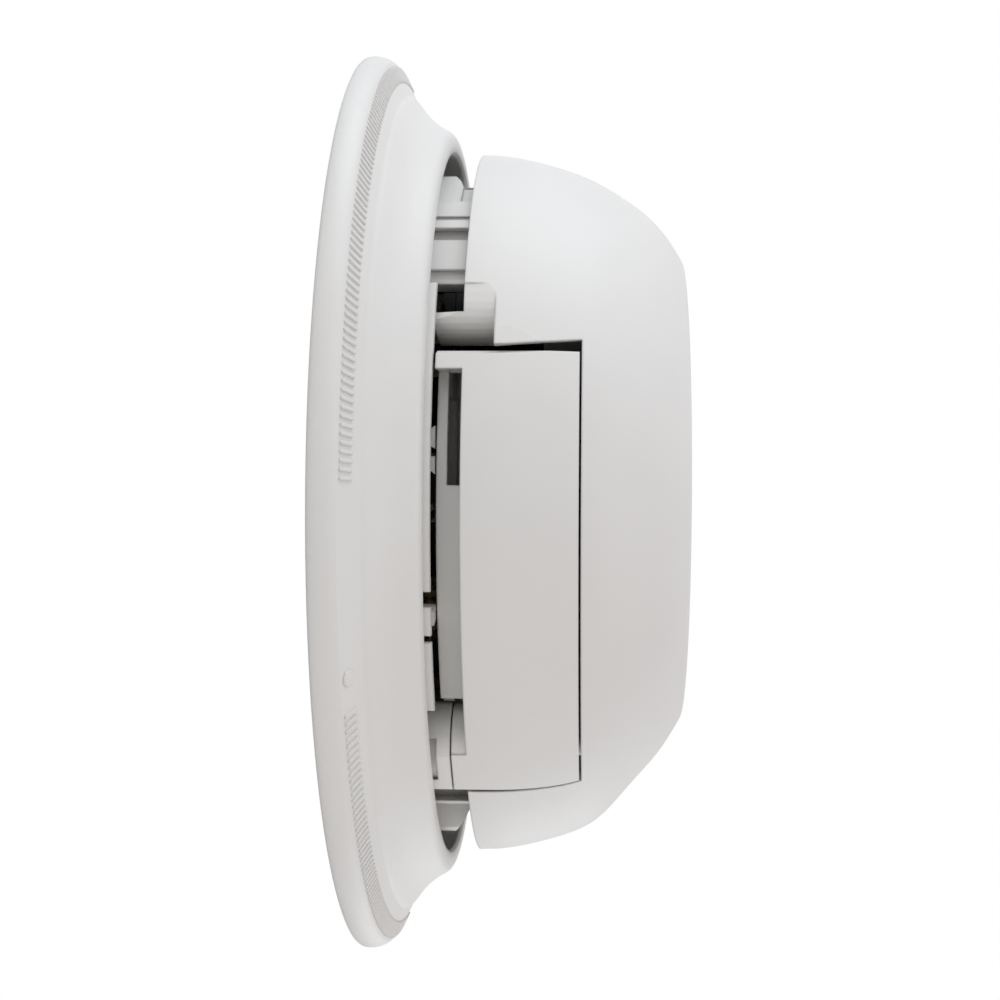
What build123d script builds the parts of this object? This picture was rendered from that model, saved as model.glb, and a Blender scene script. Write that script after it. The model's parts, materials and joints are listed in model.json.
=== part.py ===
from build123d import *
import math
import os

# Ceiling smoke alarm, 142 mm across and 51 mm deep, in millimetres.
# The bracket's mounting face is z = 0 and +Z is the alarm's axis, pointing into the room.
# The battery drawer is on the -Y side, its free end towards -X and its hinge towards +X.
# "Upper" and "top" mean towards +Z.

# ---- base
FLANGE_Z0 = 1.9            # the flange's edge stands this far off the ceiling
CREST_Z = 14.85            # top of the collar
LIP_Z0, LIP_Z1 = 13.0, 15.6     # thin lip inside the collar
FLOOR_Z0, FLOOR_Z1 = 5.5, 7.3
POST_Z0 = FLOOR_Z1 - 0.3   # posts are rooted in the floor
POST_Z1 = 19.2             # top of the posts in the smoke gap
POST_RI = 49.8             # usual inside radius of those posts
TWIST_ANGLES = (90.0, 210.0, 330.0)  # bayonet places
BOSS_R, BOSS_PILOT_R = 3.2, 1.0      # circuit board posts and their pilot holes

# ---- front cover
RIM_Z = 19.4               # lower edge
FACE_Z = 50.95             # flat front face
WALL = 2.0
CEILING_Z = FACE_Z - WALL  # inside of the front face
# dome sections: height, radius, centre in X
DOME = [
    (19.4, 56.0, 0.0), (22.0, 55.9, 0.0), (26.0, 55.3, 0.0), (30.0, 54.3, 0.0),
    (34.0, 53.0, 0.0), (37.0, 51.6, -0.15), (40.0, 49.4, -0.65), (43.0, 46.7, -1.4),
    (46.0, 43.8, -1.85), (48.0, 41.4, -2.0), (49.6, 39.0, -2.1), (50.95, 36.7, -2.15)]
CROWN_Z = 44               # sections above this are respaced to reach the wanted top
RIM_R = DOME[0][1]
LEG_ANGLES = (14, 100, 190)

# ---- drawer and its hinge, whose axis is parallel to Z
HINGE = HINGE_X, HINGE_Y = 34.5, -37.5
HINGE_ANGLE = math.atan2(HINGE_Y, HINGE_X)
# a point well outside the alarm on the radial line through the hinge
HINGE_RAY = (80.0 * math.cos(HINGE_ANGLE), 80.0 * math.sin(HINGE_ANGLE))
KNUCKLE_R = 6.2
PIN_R, TOP_PIN_R = 1.5, 1.2     # lower pivot on the base, upper pivot on the cover
PIN_GAP = 0.05
PIN_Z1 = 20.8              # tip of the lower pivot
TOP_PIN_Z = 27.8           # tip of the upper pivot, which hangs into the drawer's knuckle
LUG_TOP = 17.3
DRAWER_X0 = -20.4          # free end
DRAWER_ARC = 56.3          # the free end's clearing radius about the hinge
SKIN_Z0, SKIN_Z1 = 19.6, 35.1
OPENING_Z1 = SKIN_Z1 + 0.3      # top of the cover's drawer opening
TRAY_Z0, TRAY_Z1 = 16.0, 17.5   # drawer floor
TRAY_R, TRAY_WALL = 51.0, 1.6   # tray wall under the skin
HOLLOW_Z1 = 34.2

# ---- battery body, 46.0 x 25.5 x 16.5, within the 6LR61 limits
BAT_X0, BAT_X1 = -12.0, 34.0
BAT_Y0, BAT_Y1 = -33.8, -8.3
BAT_Z0, BAT_Z1 = 17.6, 34.1
BAT_Y, BAT_Z = (BAT_Y0 + BAT_Y1) / 2, (BAT_Z0 + BAT_Z1) / 2
SNAP_DY = 12.7 / 2         # half the pitch of the snap terminals
SNAP_H = 2.5

# ---- parts on the board and in the face
BUTTON = BUTTON_X, BUTTON_Y = -11.5, 0.0
BUTTON_R, BUTTON_TRAVEL = 11.0, 1.0
LED = LED_X, LED_Y = 6.0, 8.0
LED_HOLE_R = 1.75
CHAMBER = CHAMBER_X, CHAMBER_Y = -24.2, 20.3
CHAMBER_R, CHAMBER_LID_Z = 19.4, 25.6
HORN = HORN_X, HORN_Y = 22.0, 22.0
HORN_R, HORN_BORE, HORN_PORT = 18.5, 15.4, 3.2
COIL = -38.0, -6.0
BOARD_R, BOARD_Z, BOARD_TOP = 49.4, 10.0, 11.6
SCREWS = [(-42.0, -14.0), (43.0, 6.0), (0.0, 44.5)]

# ---- mounting bracket
BRACKET_R, BRACKET_T = 58.9, 1.6
BRACKET_BORE = 22.0
RING_Z1 = 4.8
SLOT_PITCH, SLOT_LEN, SLOT_W = 82.6, 9.0, 4.4

os.makedirs("parts", exist_ok=True)


# ---------------------------------------------------------------- helpers
def cyl(radius, z_min, z_max, x=0.0, y=0.0):
    align = (Align.CENTER, Align.CENTER, Align.MIN)
    return Pos(x, y, z_min) * Cylinder(radius, z_max - z_min, align=align)


def x_cyl(radius, x_min, x_max, y, z):
    return Pos(x_min, y, z) * (Rot(0, 90, 0) * cyl(radius, 0, x_max - x_min))


def tube(outer, inner, z_min, z_max, x=0.0, y=0.0):
    return cyl(outer, z_min, z_max, x, y) - cyl(inner, z_min - 1, z_max + 1, x, y)


def box(x_min, x_max, y_min, y_max, z_min, z_max):
    align = (Align.MIN, Align.MIN, Align.MIN)
    return Pos(x_min, y_min, z_min) * Box(
        x_max - x_min, y_max - y_min, z_max - z_min, align=align)


def prism(points, z_min, z_max):
    """An XY outline raised along Z."""
    return Pos(0, 0, z_min) * extrude(make_face(Polyline(*points, close=True)), z_max - z_min)


def xz_prism(points, depth, y=0.0):
    """An XZ outline extruded from y towards -Y."""
    return Pos(0, y, 0) * extrude(Plane.XZ * make_face(Polyline(*points, close=True)), depth)


def arc_block(outer, inner, start, end, z_min, z_max, steps=10):
    """The part of a tube between two angles in degrees."""
    reach = 1.2 * outer
    points = [(0.0, 0.0)]
    for i in range(steps + 1):
        angle = math.radians(start + (end - start) * i / steps)
        points.append((reach * math.cos(angle), reach * math.sin(angle)))
    return tube(outer, inner, z_min, z_max) & prism(points, z_min, z_max)


def strip(points, thickness, y_min, y_max):
    """A bent strip: its centre line is given in XZ and it is extruded along Y."""
    left, right = [], []
    for i, (x, z) in enumerate(points):
        before = points[max(i - 1, 0)]
        after = points[min(i + 1, len(points) - 1)]
        dx, dz = after[0] - before[0], after[1] - before[1]
        length = math.hypot(dx, dz)
        off_x, off_z = -dz / length * thickness / 2, dx / length * thickness / 2
        left.append((x + off_x, z + off_z))
        right.append((x - off_x, z - off_z))
    return xz_prism(left + right[::-1], y_max - y_min, y_max)


def dome_solid(inset, z_min, z_top):
    """The dome's shape, drawn in by inset, with a straight skirt down to z_min."""
    wires = []
    for z, radius, x in DOME:
        if z >= CROWN_Z:
            z = CROWN_Z + (z - CROWN_Z) * (z_top - CROWN_Z) / (FACE_Z - CROWN_Z)
        wires.append(Pos(x, 0, z) * Wire.make_circle(radius - inset))
    solid = Solid.make_loft(wires)
    if z_min < DOME[0][0]:
        solid = solid + cyl(RIM_R - inset, z_min, DOME[0][0])
    return solid


def fuse(shapes):
    return sum(shapes[1:], shapes[0])


def largest(shape):
    return max(shape.solids(), key=lambda solid: solid.volume)


def save(shape, name):
    export_step(largest(shape), f"parts/{name}.step")


def save_group(shapes, name):
    export_step(Compound(children=[largest(s) for s in shapes]), f"parts/{name}.step")


# ---------------------------------------------------------------- mounting bracket
bracket = cyl(BRACKET_R, 0, BRACKET_T)
bracket += tube(BRACKET_R, BRACKET_R - 1.4, BRACKET_T, BRACKET_T + 0.9)
bracket += tube(51.5, 50.0, BRACKET_T, RING_Z1)
# bayonet ledges, each with an end stop
for angle in TWIST_ANGLES:
    bracket += arc_block(54.2, 51.3, angle - 7, angle + 7, 3.6, RING_Z1)
    bracket += arc_block(54.2, 51.3, angle - 8.6, angle - 6.3, BRACKET_T - 0.2, RING_Z1)
# radial ribs
for angle in (30.0, 150.0, 270.0):
    bracket += arc_block(50.2, 26.0, angle - 1.0, angle + 1.0, BRACKET_T - 0.2, 3.2)
bracket -= cyl(BRACKET_BORE, -1, 6)
bracket += tube(BRACKET_BORE + 2.0, BRACKET_BORE, 0.0, 3.2)
for side in (-1, 1):
    slot = extrude(SlotOverall(SLOT_LEN, SLOT_W), 8)
    bracket -= Pos(side * SLOT_PITCH / 2, 0, -1) * slot
save(bracket, "mounting_bracket")

# ---------------------------------------------------------------- base housing
# half section of the base, (radius, z), from the flange's edge to the collar and back
EDGE_PTS = [(70.7, FLANGE_Z0), (71.05, 2.15), (71.2, 2.6), (71.22, 3.2), (71.1, 4.0),
            (70.75, 4.85), (70.15, 5.6)]
FLANGE_PTS = [(70.15, 5.6), (69.1, 6.15), (67.9, 6.7), (66.6, 7.3), (65.3, 7.95)]
STEP_PTS = [(65.3, 7.95), (64.7, 8.55)]
FLARE_PTS = [(64.7, 8.55), (63.4, 9.5), (62.2, 10.5), (61.2, 11.6), (60.4, 12.7),
             (59.95, 13.5), (59.6, 14.1), (58.9, 14.6), (58.1, 14.8), (57.4, CREST_Z)]
INSIDE_PTS = [(57.4, CREST_Z), (56.6, 14.75), (56.2, 14.3), (56.2, FLOOR_Z1), (0, FLOOR_Z1),
              (0, FLOOR_Z0), (59.4, FLOOR_Z0), (61.8, 7.6), (64.0, 6.6), (66.0, 5.8),
              (68.0, 4.9), (68.9, 4.1), (69.3, 3.1), (69.4, FLANGE_Z0), (70.7, FLANGE_Z0)]
with BuildPart() as base_builder:
    with BuildSketch(Plane.XZ):
        with BuildLine():
            Spline(*EDGE_PTS)
            Spline(*FLANGE_PTS)
            Line(*STEP_PTS)
            Spline(*FLARE_PTS)
            Polyline(*INSIDE_PTS)
        make_face()
    revolve(axis=Axis.Z)
base = base_builder.part

# skirt with bayonet lugs on the ceiling side
base += tube(57.0, 55.4, 1.9, FLOOR_Z0 + 0.3)
for angle in TWIST_ANGLES:
    base += arc_block(55.6, 52.0, angle - 6, angle + 6, 2.1, 3.4)

# thin lip inside the collar under the drawer, with two notches
lip = tube(55.9, 54.5, LIP_Z0, LIP_Z1) + tube(56.5, 54.5, LIP_Z0, 14.2)
for x_min, x_max in ((11.4, 13.4), (17.2, 18.1)):
    lip -= prism([(x_min, -40), (x_max, -40), (x_max * 1.05, -60), (x_min * 1.05, -60)], 12, 17)
base += lip & cyl(56.5, 12, 17) & box(-30.0, 28.3, -60, -40, 12, 17)

# two splayed ribs under the tray wall, outlines in (x, z), and a block beside them
SPLAYED_RIBS = [
    [(-9.6, 7.0), (-9.4, 14.6), (-10.3, 15.8), (-7.2, 15.8), (-7.9, 14.6), (-7.9, 7.0)],
    [(-6.1, 7.0), (-6.1, 14.6), (-6.2, 15.8), (-3.8, 15.8), (-4.7, 14.6), (-4.7, 7.0)]]
for outline in SPLAYED_RIBS:
    base += xz_prism(outline, 1.0, -50.0)
block_start = math.degrees(math.atan2(-50.9, 14.5))
block_end = math.degrees(math.atan2(-50.3, 16.4))
base += arc_block(53.4, 50.2, block_start, block_end, POST_Z0, 15.8)

# posts that cross the smoke gap: x from, x to, outside radius, inside radius
GAP_POSTS = [
    (-47.3, -44.0, 52.3, POST_RI), (-44.0, -41.2, 53.6, 50.4), (-41.2, -40.3, 53.2, POST_RI),
    (-40.3, -39.0, 54.2, POST_RI), (-39.0, -37.1, 52.5, POST_RI), (-37.1, -32.4, 53.4, 50.6),
    (-32.4, -30.6, 52.4, POST_RI), (-30.7, -30.2, 53.2, POST_RI)]
for x_min, x_max, outer, inner in GAP_POSTS:
    base += tube(outer, inner, POST_Z0, POST_Z1) & box(x_min - 0.05, x_max + 0.05, -60, 0, 0, 30)
# the last post runs on inwards as a fin over the circuit board
base += box(-30.75, -30.15, -44.0, -35.5, 12.3, POST_Z1)
# walls at the ends of the opening: (x, z) outline, outside radius, inside radius
END_WALLS = [
    ([(-44.0, 7.0), (-44.0, 17.2), (-47.4, 17.2), (-49.2, 16.5), (-51.4, 15.0), (-51.4, 7.0)],
     52.9, 50.9),
    ([(41.4, 7.0), (41.4, POST_Z1), (43.8, POST_Z1), (43.8, 7.0)], 51.6, POST_RI),
    ([(43.45, 7.0), (43.45, POST_Z1), (44.05, POST_Z1), (44.05, 7.0)], 53.8, POST_RI)]
for outline, outer, inner in END_WALLS:
    wall = xz_prism(outline, 60) & tube(outer, inner, POST_Z0, 30)
    base += wall & box(-60, 60, -60, -14, 0, 30)
# sloping wall at the +X end
SLOPED_WALL = [(43.5, 7.0), (43.5, POST_Z1), (45.0, POST_Z1), (46.5, 18.4), (48.0, 17.6),
               (50.0, 16.2), (50.0, 7.0)]
wall = xz_prism(SLOPED_WALL, 60) & box(40, 52, -24.6, -22.6, POST_Z0, 30)
base += wall & (cyl(54.6, 7, 30) - cyl(49.75, 7, 13))
# posts and low walls on the +Y side, evenly spread
for angle in range(20, 161, 28):
    base += arc_block(54.2, 51.2, angle - 2.0, angle + 2.0, POST_Z0, POST_Z1)
    base += arc_block(53.2, 52.2, angle - 7.5, angle + 7.5, POST_Z0, 16.4)

# hinge lug with a groove round it and the lower drawer pivot
base += cyl(KNUCKLE_R, POST_Z0, LUG_TOP, *HINGE) & (cyl(56.4, 0, 14.2) + cyl(56.1, 14.0, 30))
groove = cyl(KNUCKLE_R + 0.5, 13.6, 15.4, *HINGE) - cyl(KNUCKLE_R - 1.5, 13, 17, *HINGE)
base -= groove & box(32.8, 38.95, -50, -30, 13, 17) & cyl(56.15, 13, 17)
base += cyl(PIN_R, LUG_TOP - 1, PIN_Z1, *HINGE)

# circuit board posts, with pilot holes
for x, y in SCREWS:
    base += cyl(BOSS_R, FLOOR_Z1 - 0.2, BOARD_Z, x, y)
for x, y in SCREWS:
    base -= cyl(BOSS_PILOT_R, FLOOR_Z1 + 0.4, BOARD_Z + 1, x, y)
save(base, "base_housing")

# ---------------------------------------------------------------- front cover
dome = dome_solid(0.0, RIM_Z, FACE_Z)
face_edges = [e for e in dome.edges() if abs(e.center().Z - FACE_Z) < 0.2 and e.length > 100]
dome = largest(fillet(face_edges, 3.0))
dome_ext = dome + cyl(RIM_R, 15.0, RIM_Z)
cover = dome - dome_solid(WALL, RIM_Z - 1.0, CEILING_Z)

# drawer opening: the -X side of the hinge's radial line, plus the knuckle's own circle
OPENING_X0 = -21.05
opening = prism([(OPENING_X0, -20), (OPENING_X0, -70), HINGE_RAY,
                 (HINGE_X * 0.6, HINGE_Y * 0.6), (HINGE_X * 0.6, -20)], 10, OPENING_Z1)
opening += cyl(KNUCKLE_R + 0.3, 10, OPENING_Z1, *HINGE)
cover -= opening & (cyl(70, 0, 60) - box(-80, 80, -26, 80, 0, 60))
# the opening's -X edge leans outwards near its top
lean = xz_prism([(-21.1, 24.0), (-22.1, OPENING_Z1), (-20.0, OPENING_Z1), (-20.0, 19.0),
                 (OPENING_X0, 19.0)], 60) & box(-30, 0, -60, -30, 0, 60)
cover -= lean

# boss over the drawer's knuckle, and the pivot pin that hangs from it
cover += cyl(3.4, OPENING_Z1, 45.0, *HINGE) & dome
cover += cyl(TOP_PIN_R, TOP_PIN_Z, SKIN_Z1 + 0.4, *HINGE)

# finger scoop beside the drawer's free end: the skin rolls inwards towards the drawer's edge,
# and the rolled wall carries on down across the smoke gap as a tongue
SCOOP_Z1 = 23.7
# (x, y) of the rolled wall's outer face, then of its inner face
ROLL = [(-29.9, -47.18), (-28.6, -47.80), (-27.2, -48.32), (-26.2, -48.48), (-25.2, -48.2),
        (-24.4, -47.5), (-23.7, -46.4), (-23.2, -45.0), (-22.8, -43.4), (-22.5, -41.5),
        (-22.3, -39.5), (-22.25, -37.6)]
ROLL_BACK = [(-29.9, -45.6), (-28.0, -46.3), (-26.4, -46.6), (-25.5, -46.1), (-24.8, -45.1),
             (-24.3, -43.6), (-24.0, -41.6), (-23.8, -39.6), (-23.7, -37.6)]
scoop_cut = prism(ROLL + [(-20.0, -37.6), (-20.0, -66.0), (-29.9, -66.0)], 10, SCOOP_Z1)
scoop_plan = [(-29.9, -66.0)] + ROLL_BACK + [
    (-22.25, -37.6), (-22.25, -44.0), (-21.3, -50.0), (-21.3, -66.0)]
scoop_wall = (prism(scoop_plan, 15.3, SCOOP_Z1 + 1.4) & dome_ext) - scoop_cut
tongue = scoop_wall & box(-25.9, -22.2, -60, -37.0, 15.3, 30)
tongue = tongue & (cyl(54.2, 14, 16.2) + cyl(60, 15.95, 30))
# sloping cut across the tongue's outer corner, below the rim
bevel = Plane(origin=(-25.9, -46.9, 15.3), z_dir=(-3.69, -4.51, -1.87)) * Box(
    12, 12, 4, align=(Align.CENTER, Align.CENTER, Align.MIN))
tongue -= bevel & box(-40, -20, -60, -40, 10, RIM_Z)
scoop_upper = scoop_wall & box(-31.5, -21.3, -60, -37.0, RIM_Z, 30)
cover -= scoop_cut & box(-40, 0, -70, -45.0, 10, SCOOP_Z1)
cover += tongue
cover += scoop_upper
# a shallow pad on the skin between the scoop and the drawer's top corner
pad = dome_solid(-0.25, RIM_Z, FACE_Z) - dome_solid(0.5, RIM_Z, FACE_Z)
pad = pad & prism([(-24.2, -40), (-21.2, -40), (-21.2, -60), (-24.2, -60)], SCOOP_Z1, 31.0)
cover += pad & xz_prism([(-21.2, SCOOP_Z1), (-24.0, SCOOP_Z1), (-23.9, 26.0), (-21.3, 31.0),
                         (-21.2, 31.0)], 60)
cover -= lean

# button opening with its guide wall, indicator window
cover -= cyl(BUTTON_R + 0.3, 44, 60, *BUTTON)
cover += tube(14.6, 13.2, 43.5, CEILING_Z + 0.2, *BUTTON) & dome
cover += tube(3.2, LED_HOLE_R, 44.0, CEILING_Z + 0.2, *LED)
cover -= cyl(LED_HOLE_R, 40, 60, *LED)
# horn slots, seven in a row across a diagonal
for i, length in zip(range(-3, 4), (9.0, 13.5, 16.0, 17.0, 16.0, 13.5, 9.0)):
    slot = Pos(0, i * 3.3, 0) * extrude(SlotOverall(length, 1.7), 12)
    cover -= Pos(17.0, 15.5, 42) * (Rot(0, 0, -45) * slot)

# inside legs that reach down to the base, joined to the dome
for angle in LEG_ANGLES:
    cover += arc_block(51.0, 48.6, angle - 3.4, angle + 3.4, FLOOR_Z1 + 0.1, 34.0)
    cover += arc_block(54.4, 50.8, angle - 3.4, angle + 3.4, 19.6, 33.0) & dome
save(cover, "front_cover")

# ---------------------------------------------------------------- battery drawer
plan = prism([(-40, -70), HINGE_RAY, HINGE, (HINGE_X, -7.9), (-40, -7.9)], TRAY_Z0, SKIN_Z1)
plan = plan + cyl(KNUCKLE_R, TRAY_Z0, SKIN_Z1, *HINGE)
plan = plan & cyl(DRAWER_ARC, TRAY_Z0, SKIN_Z1, *HINGE) & box(DRAWER_X0, 60, -70, 0, 0, 60)
drawer = plan & dome_ext
# hollow inside the skin, leaving the knuckle
hollow = dome_solid(WALL, 10.0, CEILING_Z) & cyl(DRAWER_ARC - 1.4, 0, 60, *HINGE)
hollow = hollow & box(-40, 60, -70, -7.0, TRAY_Z1, HOLLOW_Z1)
knuckle = cyl(KNUCKLE_R, 10, 60, *HINGE) - cyl(KNUCKLE_R - 2.6, 22.0, 26.6, *HINGE)
hollow -= knuckle & box(0, 60, -60, -34.0, 0, 60)
# ribs that hold the battery
for x in (-4.0, 12.0, 25.0):
    hollow -= box(x - 0.6, x + 0.6, -60, -34.0, 20.4, HOLLOW_Z1)
hollow -= (box(-13.3, -12.15, -60, -35.0, 20.4, HOLLOW_Z1)
           + box(-13.3, -12.15, -35.2, -7, 0, HOLLOW_Z1))
hollow -= box(-20, 30, -35.2, -34.0, 0, 20.5)
drawer -= hollow
drawer -= box(BAT_X0 - 0.1, 60, BAT_Y0 - 0.15, 0, TRAY_Z1, 34.25)
# recess under the skin: only the tray wall, the end tab and the knuckle come down below it
under_skin = cyl(80, 0, SKIN_Z0)
drawer -= ((under_skin - cyl(TRAY_R, -1, SKIN_Z0 + 1))
           & box(-17.8, 28.3, -80, 0, 0, SKIN_Z0))
drawer -= ((under_skin - cyl(KNUCKLE_R - 0.15, -1, SKIN_Z0 + 1, *HINGE))
           & box(28.2, 34.9, -80, -36.0, 0, SKIN_Z0))
drawer += tube(54.2, 49.4, SKIN_Z0, SKIN_Z0 + 1.2) & plan & box(-19, 30, -80, -30, 0, 60)
tray_wall = tube(TRAY_R, TRAY_R - TRAY_WALL, TRAY_Z0, SKIN_Z0 + 0.6)
drawer += tray_wall & plan & box(-19, 27.2, -80, -30, 0, 60)
drawer -= box(27.2, 28.3, -80, -38.6, 0, SKIN_Z0) - cyl(KNUCKLE_R, 0, 60, *HINGE)
# window in the tray wall, with the floor open behind it
drawer -= box(-17.7, -2.3, -56, -44, 17.4, SKIN_Z0)
drawer -= box(-14.5, -2.3, -50, -36.5, 10, 17.6) & cyl(49.2, 0, 30)
# clearance for the lug, then the bores for the lower and upper pivots
drawer -= cyl(KNUCKLE_R + 0.3, 0, LUG_TOP + 0.2, *HINGE)
drawer -= cyl(PIN_R + PIN_GAP, 0, PIN_Z1 + 0.6, *HINGE)
drawer -= cyl(TOP_PIN_R + PIN_GAP, TOP_PIN_Z - 0.4, 40, *HINGE)
save(drawer, "battery_drawer")


# ---------------------------------------------------------------- battery
def battery_block(x_min, x_max, inset, radius):
    block = box(x_min, x_max, BAT_Y0 + inset, BAT_Y1 - inset, BAT_Z0 + inset, BAT_Z1 - inset)
    return fillet(block.edges().filter_by(Axis.X), radius)


save(battery_block(BAT_X0 + 0.5, BAT_X1 - 1.0, 0, 2.2), "battery_can")
save(battery_block(BAT_X0, BAT_X0 + 0.5, 0.4, 1.9), "battery_bottom_plate")
save(battery_block(BAT_X1 - 1.0, BAT_X1, 0.3, 2.0), "battery_top_plate")

stud_y, socket_y = BAT_Y - SNAP_DY, BAT_Y + SNAP_DY
stud = x_cyl(2.85, BAT_X1, BAT_X1 + SNAP_H, stud_y, BAT_Z)
stud -= x_cyl(1.6, BAT_X1 + 1.3, BAT_X1 + 3, stud_y, BAT_Z)
socket = Rot(0, 90, 0) * extrude(RegularPolygon(4.3, 6), SNAP_H)
socket = Pos(BAT_X1, socket_y, BAT_Z) * socket
socket = socket - x_cyl(2.9, BAT_X1 + 0.6, BAT_X1 + 3, socket_y, BAT_Z)
save_group([stud, socket], "battery_terminals")

# ---------------------------------------------------------------- battery contacts
block = box(38.9, 41.0, BAT_Y - 9.4, BAT_Y + 9.4, BOARD_TOP, 31.0)
for y in (stud_y, socket_y):
    block -= box(38.4, 39.6, y - 2.7, y + 2.7, 12.4, 21.0)
save(block, "contact_block")
# centre line of a spring, (x, z)
SPRING = [(39.25, 12.8), (39.25, 18.2), (38.9, 19.4), (36.95, 24.2), (36.8, 25.4),
          (36.9, 26.6), (38.3, 31.6)]
for y, name in ((stud_y, "positive"), (socket_y, "negative")):
    save(strip(SPRING, 0.4, y - 2.5, y + 2.5), f"contact_spring_{name}")

# ---------------------------------------------------------------- circuit board and screws
board = cyl(BOARD_R, BOARD_Z, BOARD_TOP) - cyl(8.2, 0, 20, *HINGE)
for angle in LEG_ANGLES:
    board -= arc_block(53.0, 47.6, angle - 4.2, angle + 4.2, 5, 20)
for x, y in SCREWS:
    board -= cyl(1.5, 0, 20, x, y)
save(board, "circuit_board")


def board_screw(x, y):
    """Round head with a cross recess, and a plain shank."""
    screw = cyl(2.7, BOARD_TOP, BOARD_TOP + 1.7, x, y)
    screw += cyl(0.95, FLOOR_Z1 + 1.0, BOARD_TOP + 0.2, x, y)
    for dx, dy in ((2.0, 0.35), (0.35, 2.0)):
        screw -= box(x - dx, x + dx, y - dy, y + dy, BOARD_TOP + 1.0, BOARD_TOP + 3)
    return screw


save_group([board_screw(x, y) for x, y in SCREWS], "board_screws")

# ---------------------------------------------------------------- smoke chamber
LENS_DX, LENS_R, LENS_Z = 11.0, 2.45, BOARD_TOP + 5.0
VANE_Z0 = BOARD_TOP + 2.1
VANE_COUNT = 20

# base with two lens tunnels
chamber_base = cyl(CHAMBER_R, BOARD_TOP, BOARD_TOP + 2.0, *CHAMBER)
for side in (-1, 1):
    x = CHAMBER_X + side * LENS_DX
    tunnel = box(x - 3.6, x + 3.6, CHAMBER_Y - 3.6, CHAMBER_Y + 3.6,
                 BOARD_TOP + 1.8, BOARD_TOP + 8.2)
    tunnel -= x_cyl(LENS_R + 0.1, x - 5, x + 5, CHAMBER_Y, LENS_Z)
    chamber_base += tunnel
save(chamber_base, "chamber_base")

# emitter and receiver, their round tips facing each other
for side, name in ((-1, "infrared_emitter"), (1, "photodiode")):
    x = CHAMBER_X + side * LENS_DX
    x_in = x - side * 6
    barrel = x_cyl(LENS_R, x - 2.6, x + 2.6, CHAMBER_Y, LENS_Z)
    tip = Pos(x - side * 2.6, CHAMBER_Y, LENS_Z) * Sphere(LENS_R)
    tip = tip & x_cyl(LENS_R, min(x, x_in), max(x, x_in), CHAMBER_Y, LENS_Z)
    save(barrel + tip, name)

# lid with a ring of bent vanes
lid = cyl(CHAMBER_R, CHAMBER_LID_Z, CHAMBER_LID_Z + 1.6, *CHAMBER)
vane = box(0, 4.6, -0.5, 0.5, VANE_Z0, CHAMBER_LID_Z + 0.2)
vane += Pos(4.2, 0, 0) * (Rot(0, 0, 62) * box(0, 2.6, -0.5, 0.5, VANE_Z0, CHAMBER_LID_Z + 0.2))
vane = Pos(15.6, 0, 0) * (Rot(0, 0, 118) * Pos(-2.3, 0, 0) * vane)
for i in range(VANE_COUNT):
    placed = Pos(*CHAMBER, 0) * (Rot(0, 0, 360.0 / VANE_COUNT * i) * vane)
    lid += placed & tube(18.2, 15.2, VANE_Z0, CHAMBER_LID_Z + 0.2, *CHAMBER)
save(lid, "chamber_cover")

# insect screen: windows cut all round, crossed by three thin bars
windows = fuse([Pos(*CHAMBER, 0) * (Rot(0, 0, i * 15)
                * box(-25, 25, -1.9, 1.9, BOARD_TOP + 3.4, 24.2)) for i in range(12)])
bars = fuse([cyl(25, z, z + 0.5, *CHAMBER) for z in (16.6, 19.0, 21.4)])
screen = tube(18.95, 18.65, BOARD_TOP + 2.05, CHAMBER_LID_Z - 0.05, *CHAMBER)
save(screen - (windows - bars), "insect_screen")

# ---------------------------------------------------------------- horn
horn_base = tube(HORN_R, 16.9, BOARD_TOP, 16.6, *HORN)
horn_base += tube(17.2, 15.6, BOARD_TOP, 15.6, *HORN)
save(horn_base, "horn_base")
save(cyl(16.8, 15.62, 15.82, *HORN), "piezo_disc")
save(cyl(11.5, 15.83, 16.05, *HORN), "piezo_ceramic")
horn_cap = tube(HORN_R, HORN_BORE, 16.62, 22.2, *HORN)
horn_cap += tube(16.85, HORN_BORE, 16.1, 16.8, *HORN)
horn_cap += cyl(HORN_R, 22.0, 23.4, *HORN) - cyl(HORN_PORT, 20, 25, *HORN)
horn_cap += tube(4.6, HORN_PORT, 22.0, 26.5, *HORN)
save(horn_cap, "horn_cap")
fingers = []
for x in (HORN_X - 12.4, HORN_X, HORN_X + 9.0):
    line = [(x - 2.0, BOARD_TOP + 0.2), (x + 0.6, BOARD_TOP + 0.2), (x + 1.4, BOARD_TOP + 1.2),
            (x - 0.6, 15.0), (x - 0.2, 15.38)]
    fingers.append(strip(line, 0.3, HORN_Y - 1.2, HORN_Y + 1.2))
save_group(fingers, "horn_contacts")

# ---------------------------------------------------------------- indicator lamp, light pipe
lamp = cyl(1.5, BOARD_TOP + 0.6, BOARD_TOP + 4.0, *LED)
lamp += Pos(*LED, BOARD_TOP + 4.0) * Sphere(1.5)
lamp += cyl(1.8, BOARD_TOP, BOARD_TOP + 0.9, *LED)
save(lamp, "indicator_led")
pipe = cyl(1.6, 44.0, FACE_Z - 0.1, *LED) + cyl(1.6, BOARD_TOP + 6.0, 44.2, *LED)
save(pipe, "light_pipe")

# ---------------------------------------------------------------- test switch and button
SWITCH_TOP = BOARD_TOP + 5.0
switch = box(BUTTON_X - 3, BUTTON_X + 3, BUTTON_Y - 3, BUTTON_Y + 3, BOARD_TOP, BOARD_TOP + 3.4)
switch = fillet(switch.edges().filter_by(Axis.Z), 0.4)
switch += cyl(1.7, BOARD_TOP + 3.3, SWITCH_TOP, *BUTTON)
save(switch, "test_switch")

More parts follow.
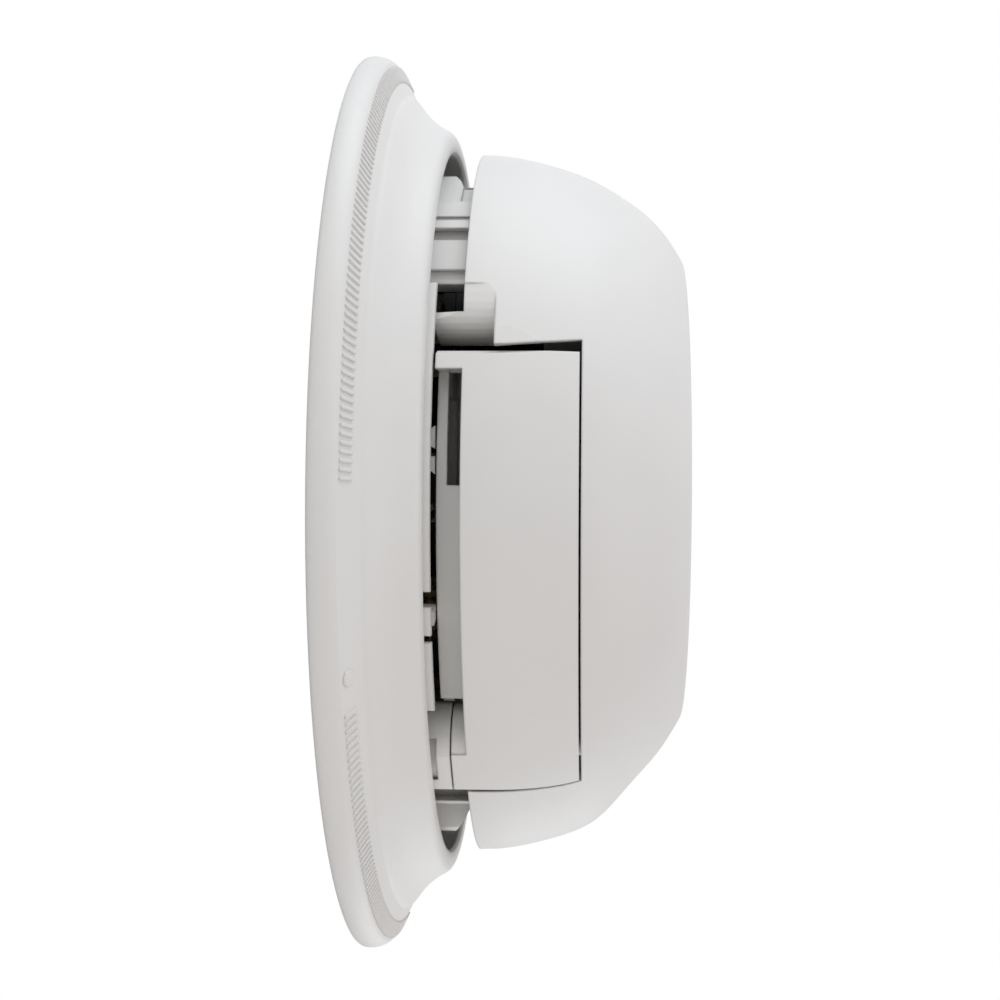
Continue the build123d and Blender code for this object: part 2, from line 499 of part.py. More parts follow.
# plate, retaining flange, hollow, stem, cross ribs below and three grip ribs on the face
button = cyl(BUTTON_R, 46.9, FACE_Z - 0.05, *BUTTON)
button = largest(fillet([e for e in button.edges() if e.center().Z > FACE_Z - 0.5], 0.5))
button += cyl(12.8, 46.9, 48.35, *BUTTON)
button -= cyl(9.4, 46.0, 48.6, *BUTTON)
button += cyl(2.3, SWITCH_TOP + BUTTON_TRAVEL + 0.03, 49.5, *BUTTON)
for angle in (0, 90):
    button += Pos(*BUTTON, 0) * (Rot(0, 0, angle) * box(-9.8, 9.8, -0.6, 0.6, 44.8, 48.8))
for x_min, x_max in ((-16.8, -12.9), (-11.9, -10.3), (-9.4, -7.1)):
    rib = box(x_min, x_max, -4.6, 4.6, FACE_Z - 0.5, FACE_Z + 0.42)
    button += fillet(rib.edges().filter_by(Axis.Z), 0.5)
save(button, "test_button")

# ---------------------------------------------------------------- electronics on the board
chip = box(-6.2, 0.2, -34.8, -15.2, BOARD_TOP + 0.5, BOARD_TOP + 3.6)
chip -= cyl(0.9, BOARD_TOP + 3.2, BOARD_TOP + 5, -3.0, -34.0)
save(chip, "detector_chip")
PIN_PITCH = 2.54
pins = []
for i in range(8):
    y = -33.9 + i * PIN_PITCH
    for x in (-7.2, 0.3):
        pins.append(box(x, x + 0.9, y - 0.25, y + 0.25, BOARD_TOP, BOARD_TOP + 2.0))
save_group(pins, "chip_pins")

# radius, height, x, y
CANS = [(3.1, 11.0, 0.5, 33.5), (2.5, 7.0, -6.0, 43.0), (2.5, 7.0, 13.0, 43.4)]
cans = []
for radius, height, x, y in CANS:
    can = cyl(radius, BOARD_TOP, BOARD_TOP + height, x, y)
    cans.append(fillet([e for e in can.edges() if e.center().Z > BOARD_TOP + 1], 0.4))
save_group(cans, "electrolytic_capacitors")

WIRE_R, WIRE_DX, WIRE_Z = 0.28, 4.6, BOARD_TOP + 1.3
resistor = x_cyl(1.1, -3.0, 3.0, 0, WIRE_Z) + x_cyl(WIRE_R, -WIRE_DX, WIRE_DX, 0, WIRE_Z)
for side in (-1, 1):
    resistor += cyl(WIRE_R, BOARD_TOP, BOARD_TOP + 1.4, side * WIRE_DX, 0)
# x, y, turn about Z
RESISTORS = [(16.0, -18.0, 0), (16.0, -23.0, 0), (16.0, -28.0, 0),
             (-20.0, -20.0, 90), (-25.0, -20.0, 90), (-30.0, -20.0, 90)]
save_group([Pos(x, y, 0) * (Rot(0, 0, angle) * resistor) for x, y, angle in RESISTORS],
           "resistors")

films = []
for y in (-25.0, -17.5, -10.0):
    film = box(27.0 - 1.3, 27.0 + 1.3, y - 2.6, y + 2.6, BOARD_TOP, BOARD_TOP + 3.2)
    films.append(fillet(film.edges(), 0.5))
save_group(films, "film_capacitors")

save(tube(4.0, 2.4, BOARD_TOP + 1.0, BOARD_TOP + 6.0, *COIL), "coil_winding")
core = cyl(2.3, BOARD_TOP + 0.5, BOARD_TOP + 7.0, *COIL)
for z in (BOARD_TOP, BOARD_TOP + 6.1):
    core += cyl(4.4, z, z + 0.9, *COIL)
save(core, "coil_core")
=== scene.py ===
# A round white alarm with a battery drawer. It lies on its bracket on the floor at z = 0, with
# its axis along +Z. The camera looks from -Y and is turned so that -X is up in the picture.
# Lengths of pieces are in millimetres and angles round the axis run from -Y towards +X.
# Materials, stage, camera lens clipping and lights are in metres.
import bpy, bmesh, math, json
from mathutils import Vector, Matrix


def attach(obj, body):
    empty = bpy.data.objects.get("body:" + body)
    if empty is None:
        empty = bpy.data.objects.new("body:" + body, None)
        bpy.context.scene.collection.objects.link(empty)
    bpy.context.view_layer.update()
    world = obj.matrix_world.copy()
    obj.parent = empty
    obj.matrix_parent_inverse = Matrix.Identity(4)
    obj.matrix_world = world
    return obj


MM = 0.001

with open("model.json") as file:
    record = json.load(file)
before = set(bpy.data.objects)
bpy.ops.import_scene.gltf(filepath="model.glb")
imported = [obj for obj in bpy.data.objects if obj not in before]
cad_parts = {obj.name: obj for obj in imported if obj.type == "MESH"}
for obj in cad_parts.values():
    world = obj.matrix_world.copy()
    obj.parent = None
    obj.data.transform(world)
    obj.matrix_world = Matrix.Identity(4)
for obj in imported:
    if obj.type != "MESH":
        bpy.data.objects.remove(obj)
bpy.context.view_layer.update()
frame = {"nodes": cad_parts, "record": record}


# ------------------------------------------------------------------ shader node helpers
def set_inputs(tree, node, inputs):
    """Gives each named input a plain value, or links it when the value is a socket."""
    for key, value in inputs.items():
        if isinstance(value, bpy.types.NodeSocket):
            tree.links.new(value, node.inputs[key])
        else:
            node.inputs[key].default_value = value


def add_node(tree, kind, inputs=None, **settings):
    node = tree.nodes.new(kind)
    for setting, value in settings.items():
        setattr(node, setting, value)
    set_inputs(tree, node, inputs or {})
    return node


def new_material(name):
    """Returns a material, its node tree, its Principled shader and its output node."""
    material = bpy.data.materials.new(name)
    material.use_nodes = True
    tree = material.node_tree
    tree.nodes.clear()
    shader = add_node(tree, "ShaderNodeBsdfPrincipled")
    output = add_node(tree, "ShaderNodeOutputMaterial", {"Surface": shader.outputs["BSDF"]})
    return material, tree, shader, output


def object_coordinates(tree):
    return add_node(tree, "ShaderNodeTexCoord").outputs["Object"]


def noise(tree, vector, scale, detail, roughness):
    return add_node(tree, "ShaderNodeTexNoise", {
        "Vector": vector, "Scale": scale, "Detail": detail, "Roughness": roughness,
    }).outputs["Fac"]


def colour_ramp(tree, factor, stops):
    """Stops are (position, colour)."""
    node = add_node(tree, "ShaderNodeValToRGB", {"Fac": factor})
    elements = node.color_ramp.elements
    elements.remove(elements[-1])
    elements[0].position = stops[0][0]
    elements[0].color = (*stops[0][1], 1)
    for position, colour in stops[1:]:
        elements.new(position).color = (*colour, 1)
    return node.outputs["Color"]


def mix_colour(tree, factor, first, second):
    # Inputs 0, 6 and 7 are the factor and the two colours.
    inputs = {0: factor, 6: first, 7: (*second, 1)}
    return add_node(tree, "ShaderNodeMix", inputs, data_type="RGBA").outputs[2]


def mix_shader(tree, factor, first, second):
    return add_node(tree, "ShaderNodeMixShader", {0: factor, 1: first, 2: second}).outputs[0]


def calculate(tree, operation, first, second):
    inputs = {0: first, 1: second, 2: 0.0}
    return add_node(tree, "ShaderNodeMath", inputs, operation=operation).outputs[0]


def weighted_sum(tree, first, first_weight, second, second_weight):
    return calculate(tree, "ADD",
                     calculate(tree, "MULTIPLY", first, first_weight),
                     calculate(tree, "MULTIPLY", second, second_weight))


def remap(tree, value, source, target):
    """Maps the range `source` onto the range `target`."""
    return add_node(tree, "ShaderNodeMapRange", {
        "Value": value, "From Min": source[0], "From Max": source[1],
        "To Min": target[0], "To Max": target[1],
    }).outputs["Result"]


def add_bump(tree, shader, height, strength, depth):
    bump = add_node(tree, "ShaderNodeBump",
                    {"Height": height, "Strength": strength, "Distance": depth})
    set_inputs(tree, shader, {"Normal": bump.outputs["Normal"]})
    return bump


def scaled(colour, factor):
    return tuple(channel * factor for channel in colour)


# ------------------------------------------------------------------ material families
SKIN_GRAIN = 0.00045     # size of the moulded skin's grain
SKIN_DEPTH = 0.000012
FLOW_MOTTLE = 0.03       # strength of the colour mottle
CORNER_SHADE_REACH = 0.0016      # how far the painted shade spreads out of a corner
INNER_DEPTH = 0.000008   # bump depth of the inner parts


def moulded_plastic(name, colour, roughness, edge=0.0003, painted_corner_shade=0.10):
    """Plastic with a fine skin, a flow mottle, edges rounded by `edge` and painted shade in its
    corners.
    """
    material, tree, shader, _ = new_material(name)
    place = object_coordinates(tree)
    grain = noise(tree, place, scale=1.0 / SKIN_GRAIN, detail=3.0, roughness=0.55)
    cells = add_node(tree, "ShaderNodeTexVoronoi",
                     {"Vector": place, "Scale": 0.8 / SKIN_GRAIN}, feature="SMOOTH_F1")
    skin = weighted_sum(tree, first=grain, first_weight=0.6,
                        second=cells.outputs["Distance"], second_weight=0.5)
    flow = noise(tree, place, scale=38.0, detail=4.0, roughness=0.6)
    wave = noise(tree, place, scale=9.0, detail=2.0, roughness=0.5)

    dark = scaled(colour, 1 - FLOW_MOTTLE)
    light = scaled(colour, 1 + FLOW_MOTTLE * 0.6)
    warm = (colour[0] * 1.006, colour[1], colour[2] * 0.975)
    base = colour_ramp(tree, flow, stops=[(0.30, dark), (0.55, colour), (0.75, light)])
    warmth = remap(tree, wave, source=(0.35, 0.7), target=(0.0, 0.6))
    base = mix_colour(tree, warmth, base, warm)
    # Painted shade: ambient occlusion darkens the colour towards 0.42 of itself in corners, creases
    # and gaps between parts.
    if painted_corner_shade > 0:
        occlusion = add_node(tree, "ShaderNodeAmbientOcclusion",
                             {"Distance": CORNER_SHADE_REACH}, samples=4)
        corner_shade_mask = remap(tree, occlusion.outputs["AO"], source=(0.15, 0.75), target=(painted_corner_shade, 0.0))
        base = mix_colour(tree, corner_shade_mask, base, scaled(colour, 0.42))

    flow_gloss = remap(tree, flow, source=(0.3, 0.7), target=(roughness - 0.05, roughness + 0.06))
    grain_gloss = remap(tree, grain, source=(0.3, 0.7), target=(-0.03, 0.03))
    set_inputs(tree, shader, {
        "Base Color": base,
        "Roughness": calculate(tree, "ADD", flow_gloss, grain_gloss),
        "Specular IOR Level": 0.45,
    })
    bump = add_bump(tree, shader, skin, strength=0.55, depth=SKIN_DEPTH)
    if edge > 0:
        bevel = add_node(tree, "ShaderNodeBevel", {"Radius": edge}, samples=4)
        set_inputs(tree, bump, {"Normal": bevel.outputs["Normal"]})
    return material


def inner_material(name, colour, roughness, metallic=0.0, grain=0.0004, variation=0.12,
                   coat=0.0, transmission=0.0, scratch=0.0):
    """Surface of the inner parts: uneven colour and gloss, a fine bump, scratches on metals."""
    material, tree, shader, _ = new_material(name)
    place = object_coordinates(tree)
    height = fine = noise(tree, place, scale=1.0 / grain, detail=4.0, roughness=0.6)
    patches = noise(tree, place, scale=160.0, detail=3.0, roughness=0.5)
    base = colour_ramp(tree, patches, stops=[
        (0.3, scaled(colour, 1 - variation)),
        (0.55, colour),
        (0.8, scaled(colour, 1 + variation)),
    ])
    gloss = remap(tree, fine, source=(0.3, 0.7), target=(roughness - 0.07, roughness + 0.07))
    if scratch > 0:
        # The noise is stretched along X into scratches.
        stretched = add_node(tree, "ShaderNodeMapping", {"Vector": place, "Scale": (40, 900, 900)})
        lines = noise(tree, stretched.outputs["Vector"], scale=3.0, detail=6.0, roughness=0.7)
        line_gloss = remap(tree, lines, source=(0.35, 0.65), target=(-scratch, scratch))
        gloss = calculate(tree, "ADD", gloss, line_gloss)
        height = weighted_sum(tree, first=fine, first_weight=0.4, second=lines, second_weight=0.6)
    set_inputs(tree, shader, {
        "Base Color": base,
        "Roughness": gloss,
        "Metallic": metallic,
        "Specular IOR Level": 0.5,
        "Coat Weight": coat,
    })
    if transmission > 0:
        set_inputs(tree, shader, {"Transmission Weight": transmission, "IOR": 1.49})
    add_bump(tree, shader, height, strength=0.5, depth=INNER_DEPTH)
    return material


# (slot, material name, colour, further arguments)
MOULDED = (
    ("white_plastic", "white_abs", (0.800, 0.797, 0.782), dict(roughness=0.46, edge=0.00045)),
    ("bracket_plastic", "bracket_abs", (0.74, 0.735, 0.715), dict(roughness=0.5)),
    ("button_plastic", "button_abs", (0.81, 0.807, 0.79), dict(roughness=0.4)),
    ("black_plastic", "black_styrene", (0.012, 0.012, 0.013),
     dict(roughness=0.6, painted_corner_shade=0.0, edge=0.0)),
)
INNER = (
    ("board_laminate", "board_green", (0.012, 0.055, 0.022),
     dict(roughness=0.35, coat=0.3, grain=0.0008)),
    ("battery_sleeve", "battery_lacquer", (0.02, 0.024, 0.03),
     dict(roughness=0.3, metallic=0.3, coat=0.4)),
    ("battery_plate", "battery_plate", (0.01, 0.01, 0.011), dict(roughness=0.6)),
    ("nickel", "nickel", (0.62, 0.61, 0.58), dict(roughness=0.28, metallic=1.0, scratch=0.08)),
    ("spring_metal", "spring_strip", (0.66, 0.63, 0.57),
     dict(roughness=0.3, metallic=1.0, scratch=0.1)),
    ("screw_steel", "screw_zinc", (0.55, 0.56, 0.57),
     dict(roughness=0.35, metallic=1.0, scratch=0.08)),
    ("screen_metal", "screen_steel", (0.024, 0.025, 0.027),
     dict(roughness=0.45, metallic=0.6, scratch=0.06)),
    ("brass_disc", "horn_brass", (0.62, 0.44, 0.16),
     dict(roughness=0.3, metallic=1.0, scratch=0.1)),
    ("piezo_ceramic", "silvered_ceramic", (0.62, 0.60, 0.53), dict(roughness=0.45)),
    ("clear_lens", "clear_acrylic", (0.86, 0.92, 0.93),
     dict(roughness=0.12, transmission=0.85, variation=0.02)),
    ("red_lens", "red_epoxy", (0.42, 0.012, 0.01), dict(roughness=0.2, transmission=0.3)),
    ("dark_epoxy", "tinted_epoxy", (0.012, 0.01, 0.022), dict(roughness=0.2, coat=0.3)),
    ("chip_epoxy", "chip_black", (0.014, 0.014, 0.015), dict(roughness=0.55, grain=0.0003)),
    ("capacitor_sleeve", "shrink_sleeve", (0.02, 0.035, 0.09), dict(roughness=0.35, coat=0.2)),
    ("film_epoxy", "dipped_epoxy", (0.069, 0.023, 0.013), dict(roughness=0.35, coat=0.3)),
    ("resistor_body", "resistor_lacquer", (0.55, 0.40, 0.22), dict(roughness=0.4, coat=0.3)),
    ("copper_wire", "enamelled_copper", (0.35, 0.10, 0.03),
     dict(roughness=0.3, metallic=0.6, scratch=0.08)),
    ("ferrite", "ferrite", (0.03, 0.03, 0.032), dict(roughness=0.5)),
)
SLOTS = {}
for family, rows in ((moulded_plastic, MOULDED), (inner_material, INNER)):
    for slot, name, colour, arguments in rows:
        SLOTS[slot] = family(name, colour, **arguments)

slot_of_node = {part["node"]: part["material_slot"] for part in frame["record"]["subparts"]}
for name, part in frame["nodes"].items():
    part.data.materials.clear()
    part.data.materials.append(SLOTS[slot_of_node[name]])


# ------------------------------------------------------------------ mesh helpers
def link_object(name, data):
    made = bpy.data.objects.new(name, data)
    bpy.context.scene.collection.objects.link(made)
    return made


def add_piece(name, vertices, faces, material, body, smooth=False):
    """Makes a mesh from millimetres that rides on `body` and carries `material`."""
    mesh = bpy.data.meshes.new(name)
    mesh.from_pydata([tuple(c * MM for c in vertex) for vertex in vertices], [], faces)
    work = bmesh.new()
    work.from_mesh(mesh)
    bmesh.ops.recalc_face_normals(work, faces=work.faces)
    work.to_mesh(mesh)
    work.free()
    for polygon in mesh.polygons:
        polygon.use_smooth = smooth
    mesh.materials.append(material)
    made = link_object(name, mesh)
    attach(made, body)


def join_rings(faces, first, rings, size, closed=False):
    """Joins rings of `size` vertices with quads; `closed` also joins the last to the first."""
    for ring in range(rings if closed else rings - 1):
        here = first + ring * size
        beyond = first + (ring + 1) % rings * size
        for i in range(size):
            j = (i + 1) % size
            faces.append((here + i, here + j, beyond + j, beyond + i))


def cap_rings(faces, first, rings, size):
    """Closes the first and the last ring with one face each."""
    last = first + (rings - 1) * size
    faces.append(tuple(first + i for i in reversed(range(size))))
    faces.append(tuple(last + i for i in range(size)))


# ------------------------------------------------------------------ raised ribs on the flange
# The flange's sloping band: (radius, height)
BAND = ((70.15, 5.6), (69.1, 6.15), (67.9, 6.7), (66.6, 7.3), (65.3, 7.95))
# A rib's rings from foot to crown: (share of its outline, share of its height)
RIB_RINGS = ((1.0, 0.55), (0.80, 0.92), (0.55, 1.0))
RIB_SINK = 0.08          # how far the foot is sunk into the band
RIB_RADIAL_SHARE = 0.9   # radial run of a unit along the sloping rib
RIB_CAP_STEPS = 5
RIB_PITCH = 0.92         # degrees
FINE_RIB = dict(radius=68.45, half_length=1.45, half_width=0.30, height=0.24)


def band_at(radius):
    """Height and outward normal of the band; the normal's x is its radial part."""
    for (outer, low), (inner, high) in zip(BAND, BAND[1:]):
        if inner <= radius <= outer:
            share = (outer - radius) / (outer - inner)
            normal = Vector((high - low, 0.0, outer - inner)).normalized()
            return low + share * (high - low), normal


def bar_outline(half_length, half_width):
    """Round-ended outline: (along the bar, across it)."""
    spine = half_length - half_width
    points = []
    for centre, start in ((spine, -math.pi / 2), (-spine, math.pi / 2)):
        for i in range(RIB_CAP_STEPS + 1):
            angle = start + math.pi * i / RIB_CAP_STEPS
            points.append((centre + half_width * math.cos(angle), half_width * math.sin(angle)))
    return points


def add_rib(vertices, faces, degrees, radius, half_length, half_width, height):
    angle = math.radians(degrees)
    radial = Vector((math.sin(angle), -math.cos(angle), 0))
    tangent = Vector((math.cos(angle), math.sin(angle), 0))
    first = len(vertices)
    spine = half_length - half_width
    outline = bar_outline(half_length, half_width)
    rings = [(1.0, -RIB_SINK)] + [(width, rise * height) for width, rise in RIB_RINGS]
    for share, lift in rings:
        for along, across in outline:
            # The bar shrinks towards its own spine as it rises.
            anchor = max(-spine, min(spine, along))
            local_radius = radius + (anchor + (along - anchor) * share) * RIB_RADIAL_SHARE
            z, normal = band_at(local_radius)
            outward = radial * normal.x + Vector((0, 0, normal.z))
            foot = radial * local_radius + tangent * (across * share) + Vector((0, 0, z))
            vertices.append(tuple(foot + outward * lift))
    join_rings(faces, first, len(rings), len(outline))
    cap_rings(faces, first, len(rings), len(outline))


def build_flange_ribs():
    vertices, faces = [], []
    for degrees, end in ((-88.0, -2.4), (23.0, 88.0)):
        while degrees <= end:
            add_rib(vertices, faces, degrees, **FINE_RIB)
            degrees += RIB_PITCH
    # One nearly round stud in the gap between the two rows
    add_rib(vertices, faces, 18.8, radius=68.55, half_length=1.25, half_width=1.2, height=0.26)
    add_piece("flange_ribs", vertices, faces, SLOTS["white_plastic"], "alarm")


build_flange_ribs()

# ------------------------------------------------------------------ bands round the battery
CAN_Y = (-33.8, -8.3)
CAN_Z = (17.6, 34.1)
CAN_CORNER = 2.2
CORNER_STEPS = 6


def can_outline(offset):
    """(y, z) points of the can's rounded section, grown by `offset`."""
    (y_low, y_high), (z_low, z_high) = CAN_Y, CAN_Z
    corner = CAN_CORNER
    radius = corner + offset
    points = []
    for y, z, start in ((y_high - corner, z_high - corner, 0), (y_low + corner, z_high - corner, 90),
                        (y_low + corner, z_low + corner, 180), (y_high - corner, z_low + corner, 270)):
        for i in range(CORNER_STEPS + 1):
            angle = math.radians(start + 90.0 * i / CORNER_STEPS)
            points.append((y + radius * math.cos(angle), z + radius * math.sin(angle)))
    return points


def build_battery_band(name, material, sections):
    """Sections are (x, offset from the can's wall)."""
    vertices, faces = [], []
    for x, offset in sections:
        vertices += [(x, y, z) for y, z in can_outline(offset)]
    size = len(vertices) // len(sections)
    join_rings(faces, 0, len(sections), size, closed=True)
    add_piece(name, vertices, faces, material, "drawer")


gold = inner_material("battery_gold", (0.50, 0.30, 0.085),
                      roughness=0.28, metallic=0.85, scratch=0.06, coat=0.2)
silver = inner_material("battery_silver", (0.50, 0.50, 0.50),
                        roughness=0.3, metallic=0.8, scratch=0.06)
build_battery_band("battery_gold_band", gold,
                   [(19.5, 0.02), (19.5, 0.07), (31.6, 0.07), (31.6, 0.02)])
build_battery_band("battery_pale_line", silver,
                   [(17.6, 0.02), (17.6, 0.07), (18.5, 0.07), (18.5, 0.02)])
build_battery_band("battery_crimp_top", SLOTS["nickel"],
                   [(32.35, -0.05), (32.45, 0.10), (32.85, 0.10), (32.95, -0.15)])
build_battery_band("battery_crimp_bottom", SLOTS["nickel"],
                   [(-11.45, -0.15), (-11.35, 0.10), (-10.95, 0.10), (-10.85, -0.05)])

# ------------------------------------------------------------------ circuit board detail
BOARD_TOP = 11.6
PIN_X = (-7.9, 1.9)      # the chip's two columns of pins
PIN_Y = [-33.9 + i * 2.54 for i in range(8)]
# (x, y, whether it lies along X); the others lie along Y
RESISTORS = (
    (16, -18, True), (16, -23, True), (16, -28, True),
    (-20, -20, False), (-25, -20, False), (-30, -20, False),
)
LEAD_REACH = 4.6         # from a resistor's middle to its solder
TRACK_GAP = 1.0          # from a solder joint's centre to its track
ROUND_STEPS = 20
# (radius, z)
SOLDER_PROFILE = ((0.95, 11.56), (0.93, 11.66), (0.70, 11.74),
                  (0.46, 11.90), (0.34, 12.10), (0.31, 12.2))


def build_solder():
    """Solder fillets round the chip's pins and the resistors' leads."""
    material = inner_material("solder", (0.60, 0.60, 0.58),
                              roughness=0.25, metallic=1.0, scratch=0.04)
    spots = [(x, y) for y in PIN_Y for x in PIN_X]
    for x, y, along_x in RESISTORS:
        for reach in (-LEAD_REACH, LEAD_REACH):
            spots.append((x + reach, y) if along_x else (x, y + reach))
    vertices, faces = [], []
    for x, y in spots:
        first = len(vertices)
        for radius, z in SOLDER_PROFILE:
            for i in range(ROUND_STEPS):
                angle = 2 * math.pi * i / ROUND_STEPS
                vertices.append((x + radius * math.cos(angle), y + radius * math.sin(angle), z))
        join_rings(faces, first, len(SOLDER_PROFILE), ROUND_STEPS)
        cap_rings(faces, first, len(SOLDER_PROFILE), ROUND_STEPS)
    add_piece("board_solder", vertices, faces, material, "alarm", smooth=True)


def add_track(vertices, faces, points, width):
    """A raised strip along `points`, one box to a segment, slightly overlapping at the bends."""
    for (x0, y0), (x1, y1) in zip(points, points[1:]):
        run = Vector((x1 - x0, y1 - y0, 0))
        side = Vector((-run.y, run.x, 0)).normalized() * (width / 2)
        overrun = run.normalized() * (width / 2) * 0.4
        first = len(vertices)
        for z, share in ((BOARD_TOP - 0.02, 1.0), (BOARD_TOP + 0.045, 0.8)):
            for x, y, hand, end in ((x0, y0, 1, -1), (x1, y1, 1, 1),
                                    (x1, y1, -1, 1), (x0, y0, -1, -1)):
                vertices.append((x + side.x * hand * share + overrun.x * end,
                                 y + side.y * hand * share + overrun.y * end, z))
        cap_rings(faces, first, 2, 4)
        join_rings(faces, first, 2, 4)


def build_tracks():
    vertices, faces = [], []
    # From the chip's -X pins, fanned out 0.7 apart
    for i, y in enumerate(PIN_Y):
        fan = 0.7 * i
        add_track(vertices, faces, [
            (PIN_X[0] - TRACK_GAP, y), (-10.5 - fan, y),
            (-12.0 - fan, y + 1.5), (-12.0 - fan, -12.6 + 0.2 * i),
        ], width=0.55)
    # From the chip's +X pins, fanned out 0.6 apart
    for i, y in enumerate(PIN_Y):
        fan = 0.6 * (7 - i)
        add_track(vertices, faces, [
            (PIN_X[1] + TRACK_GAP, y), (5.0 + fan, y), (6.2 + fan, y + 1.2), (6.2 + fan, -12.0),
        ], width=0.5)
    # From the +X leads of the resistors that lie along X
    for i, (x, y, _) in enumerate(RESISTORS[:3]):
        add_track(vertices, faces, [
            (x + LEAD_REACH + TRACK_GAP, y), (23.6, y), (24.4, y - 1.0 - 0.5 * i),
        ], width=0.8)
    material = inner_material("mask_over_copper", (0.02, 0.095, 0.035), roughness=0.3, coat=0.4)
    add_piece("board_tracks", vertices, faces, material, "alarm")


RESISTOR_AXIS_Z = 12.9
# A colour ring's section: (place along the resistor from the ring's middle, radius)
COLOUR_RING = ((-0.28, 1.08), (-0.24, 1.13), (0.24, 1.13), (0.28, 1.08))


def build_resistor_rings(name, colour, middle):
    """One colour ring on every resistor, `middle` along from the resistor's middle."""
    vertices, faces = [], []
    for x, y, along_x in RESISTORS:
        first = len(vertices)
        for place, radius in COLOUR_RING:
            along = middle + place
            for i in range(ROUND_STEPS):
                angle = 2 * math.pi * i / ROUND_STEPS
                across = radius * math.cos(angle)
                z = RESISTOR_AXIS_Z + radius * math.sin(angle)
                vertices.append((x + along, y + across, z) if along_x
                                else (x - across, y + along, z))
        join_rings(faces, first, len(COLOUR_RING), ROUND_STEPS, closed=True)
    material = inner_material(name, colour, roughness=0.35, coat=0.3)
    add_piece(name, vertices, faces, material, "alarm")


def build_coil(centre_x=-38.0, centre_y=-6.0, start_z=12.82, radius=4.02, wire_radius=0.21,
               pitch=0.44, turns=11, turn_steps=28, wire_sides=6):
    """Enamelled turns round the choke's bobbin."""
    vertices, faces = [], []
    stations = turns * turn_steps + 1
    for i in range(stations):
        angle = 2 * math.pi * i / turn_steps
        centre = Vector((centre_x + radius * math.cos(angle), centre_y + radius * math.sin(angle),
                         start_z + pitch * i / turn_steps))
        radial = Vector((math.cos(angle), math.sin(angle), 0))
        for j in range(wire_sides):
            turn = 2 * math.pi * j / wire_sides
            vertices.append(tuple(centre + radial * wire_radius * math.cos(turn)
                                  + Vector((0, 0, wire_radius * math.sin(turn)))))
    join_rings(faces, 0, stations, wire_sides)
    last = (stations - 1) * wire_sides
    faces.append(tuple(range(wire_sides)))
    faces.append(tuple(last + j for j in reversed(range(wire_sides))))
    add_piece("coil_turns", vertices, faces, SLOTS["copper_wire"], "alarm",
              smooth=True)


build_solder()
build_tracks()
build_resistor_rings("resistor_rings_a", (0.28, 0.10, 0.03), middle=-1.7)
build_resistor_rings("resistor_rings_b", (0.02, 0.02, 0.02), middle=-0.7)
build_resistor_rings("resistor_rings_c", (0.45, 0.06, 0.02), middle=0.3)
build_resistor_rings("resistor_rings_d", (0.50, 0.33, 0.08), middle=1.8)
build_coil()

# ------------------------------------------------------------------ camera
CAMERA_PLACE = Vector((-0.3684, -267.99, 38.0266)) * MM
CAMERA_TARGET = Vector((-0.3684, 0.0, 21.433)) * MM
CAMERA_ROLL = 0.0045     # radians


def build_camera():
    data = bpy.data.cameras.new("camera")
    camera = link_object("camera", data)
    data.sensor_width = 36.0
    data.lens = 58.574812
    data.clip_start = 0.01
    data.clip_end = 50.0
    forward = (CAMERA_TARGET - CAMERA_PLACE).normalized()
    right = forward.cross(Vector((-1, 0, 0))).normalized()
    up = right.cross(forward)
    cosine, sine = math.cos(CAMERA_ROLL), math.sin(CAMERA_ROLL)
    axes = (cosine * right + sine * up, -sine * right + cosine * up, -forward)
    pose = Matrix(axes).transposed().to_4x4()
    pose.translation = CAMERA_PLACE
    camera.matrix_world = pose
    bpy.context.scene.camera = camera


build_camera()


# ------------------------------------------------------------------ stage and light
def floor_material():
    """Pale paper, white to the camera at a grazing angle and clear from underneath."""
    material, tree, paper, output = new_material("floor_paper")
    mottle = noise(tree, object_coordinates(tree), scale=60.0, detail=4.0, roughness=0.6)
    base = colour_ramp(tree, mottle, stops=[(0.3, (0.84, 0.84, 0.838)), (0.7, (0.87, 0.87, 0.868))])
    set_inputs(tree, paper, {"Base Color": base, "Roughness": 0.8})
    glow = add_node(tree, "ShaderNodeEmission", {"Color": (1, 1, 1, 1), "Strength": 1.0})
    facing = add_node(tree, "ShaderNodeLayerWeight", {"Blend": 0.5}).outputs["Facing"]
    grazing = remap(tree, facing, source=(0.52, 0.64), target=(0.0, 1.0))
    camera_ray = add_node(tree, "ShaderNodeLightPath").outputs["Is Camera Ray"]
    top = mix_shader(tree, calculate(tree, "MULTIPLY", grazing, camera_ray),
                     paper.outputs["BSDF"], glow.outputs["Emission"])
    underside = add_node(tree, "ShaderNodeNewGeometry").outputs["Backfacing"]
    clear = add_node(tree, "ShaderNodeBsdfTransparent").outputs[0]
    set_inputs(tree, output, {"Surface": mix_shader(tree, underside, top, clear)})
    return material


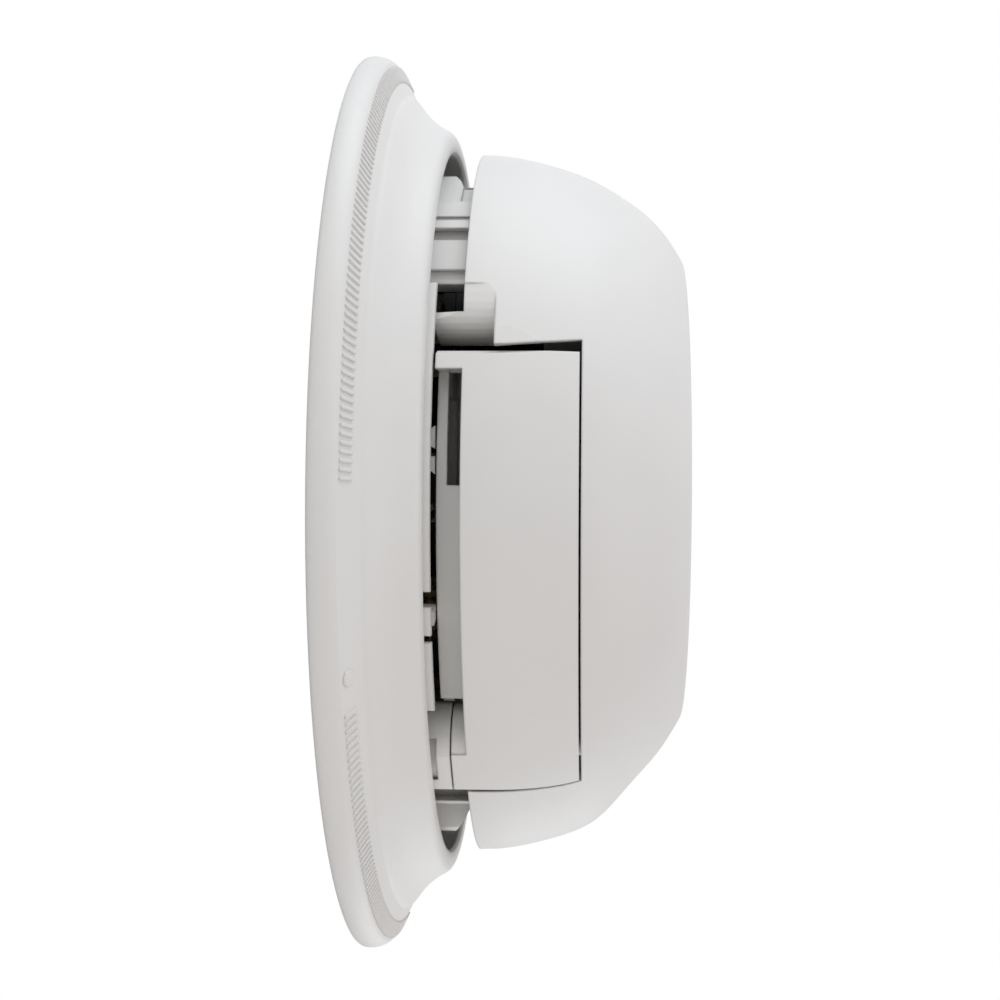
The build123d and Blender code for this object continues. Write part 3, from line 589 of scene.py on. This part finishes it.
def build_floor(hole_radius=0.058, outer_radius=5.6, z=-0.00005, steps=96):
    """A round sheet with a hole under the bracket, so that light also reaches the back."""
    vertices = []
    for radius in (hole_radius, outer_radius):
        for i in range(steps):
            angle = 2 * math.pi * i / steps
            vertices.append((radius * math.cos(angle), radius * math.sin(angle), z))
    faces = []
    for i in range(steps):
        j = (i + 1) % steps
        faces.append((i, steps + i, steps + j, j))
    mesh = bpy.data.meshes.new("floor")
    mesh.from_pydata(vertices, [], faces)
    floor = link_object("floor", mesh)
    mesh.materials.append(floor_material())


def build_world():
    """A soft, faintly warm surround that the camera itself sees as white."""
    world = bpy.data.worlds.new("world")
    bpy.context.scene.world = world
    world.use_nodes = True
    tree = world.node_tree
    tree.nodes.clear()
    seen = add_node(tree, "ShaderNodeBackground", {"Color": (1, 1, 1, 1), "Strength": 1.0})
    surround = add_node(tree, "ShaderNodeBackground",
                        {"Color": (1.0, 0.967, 0.967, 1), "Strength": 0.742})
    camera_ray = add_node(tree, "ShaderNodeLightPath").outputs["Is Camera Ray"]
    surface = mix_shader(tree, camera_ray, surround.outputs[0], seen.outputs[0])
    add_node(tree, "ShaderNodeOutputWorld", {"Surface": surface})


LAMP_TARGET = Vector((0, 0, 0.02))


def add_lamp(name, direction, power, colour):
    """A soft square lamp one metre from the alarm."""
    data = bpy.data.lights.new(name, "AREA")
    data.shape = "SQUARE"
    data.size = 0.6
    data.energy = power
    data.color = colour
    lamp = link_object(name, data)
    lamp.location = Vector(direction).normalized() + LAMP_TARGET
    aim = (LAMP_TARGET - lamp.location).normalized()
    lamp.rotation_euler = aim.to_track_quat("-Z", "Y").to_euler()


build_floor()
build_world()
add_lamp("top", direction=(-1, 0, 0.35), power=3.335, colour=(0.852, 0.948, 1.0))
add_lamp("top_front", direction=(-0.7, 0, 0.7), power=0.525, colour=(0.59, 0.705, 1.0))
add_lamp("rim", direction=(0.8, 0.6, 0.25), power=1.6, colour=(0.849, 0.941, 1.0))

view = bpy.context.scene.view_settings
view.view_transform = "Standard"
view.look = "None"
view.exposure = 0.0
view.gamma = 1.0
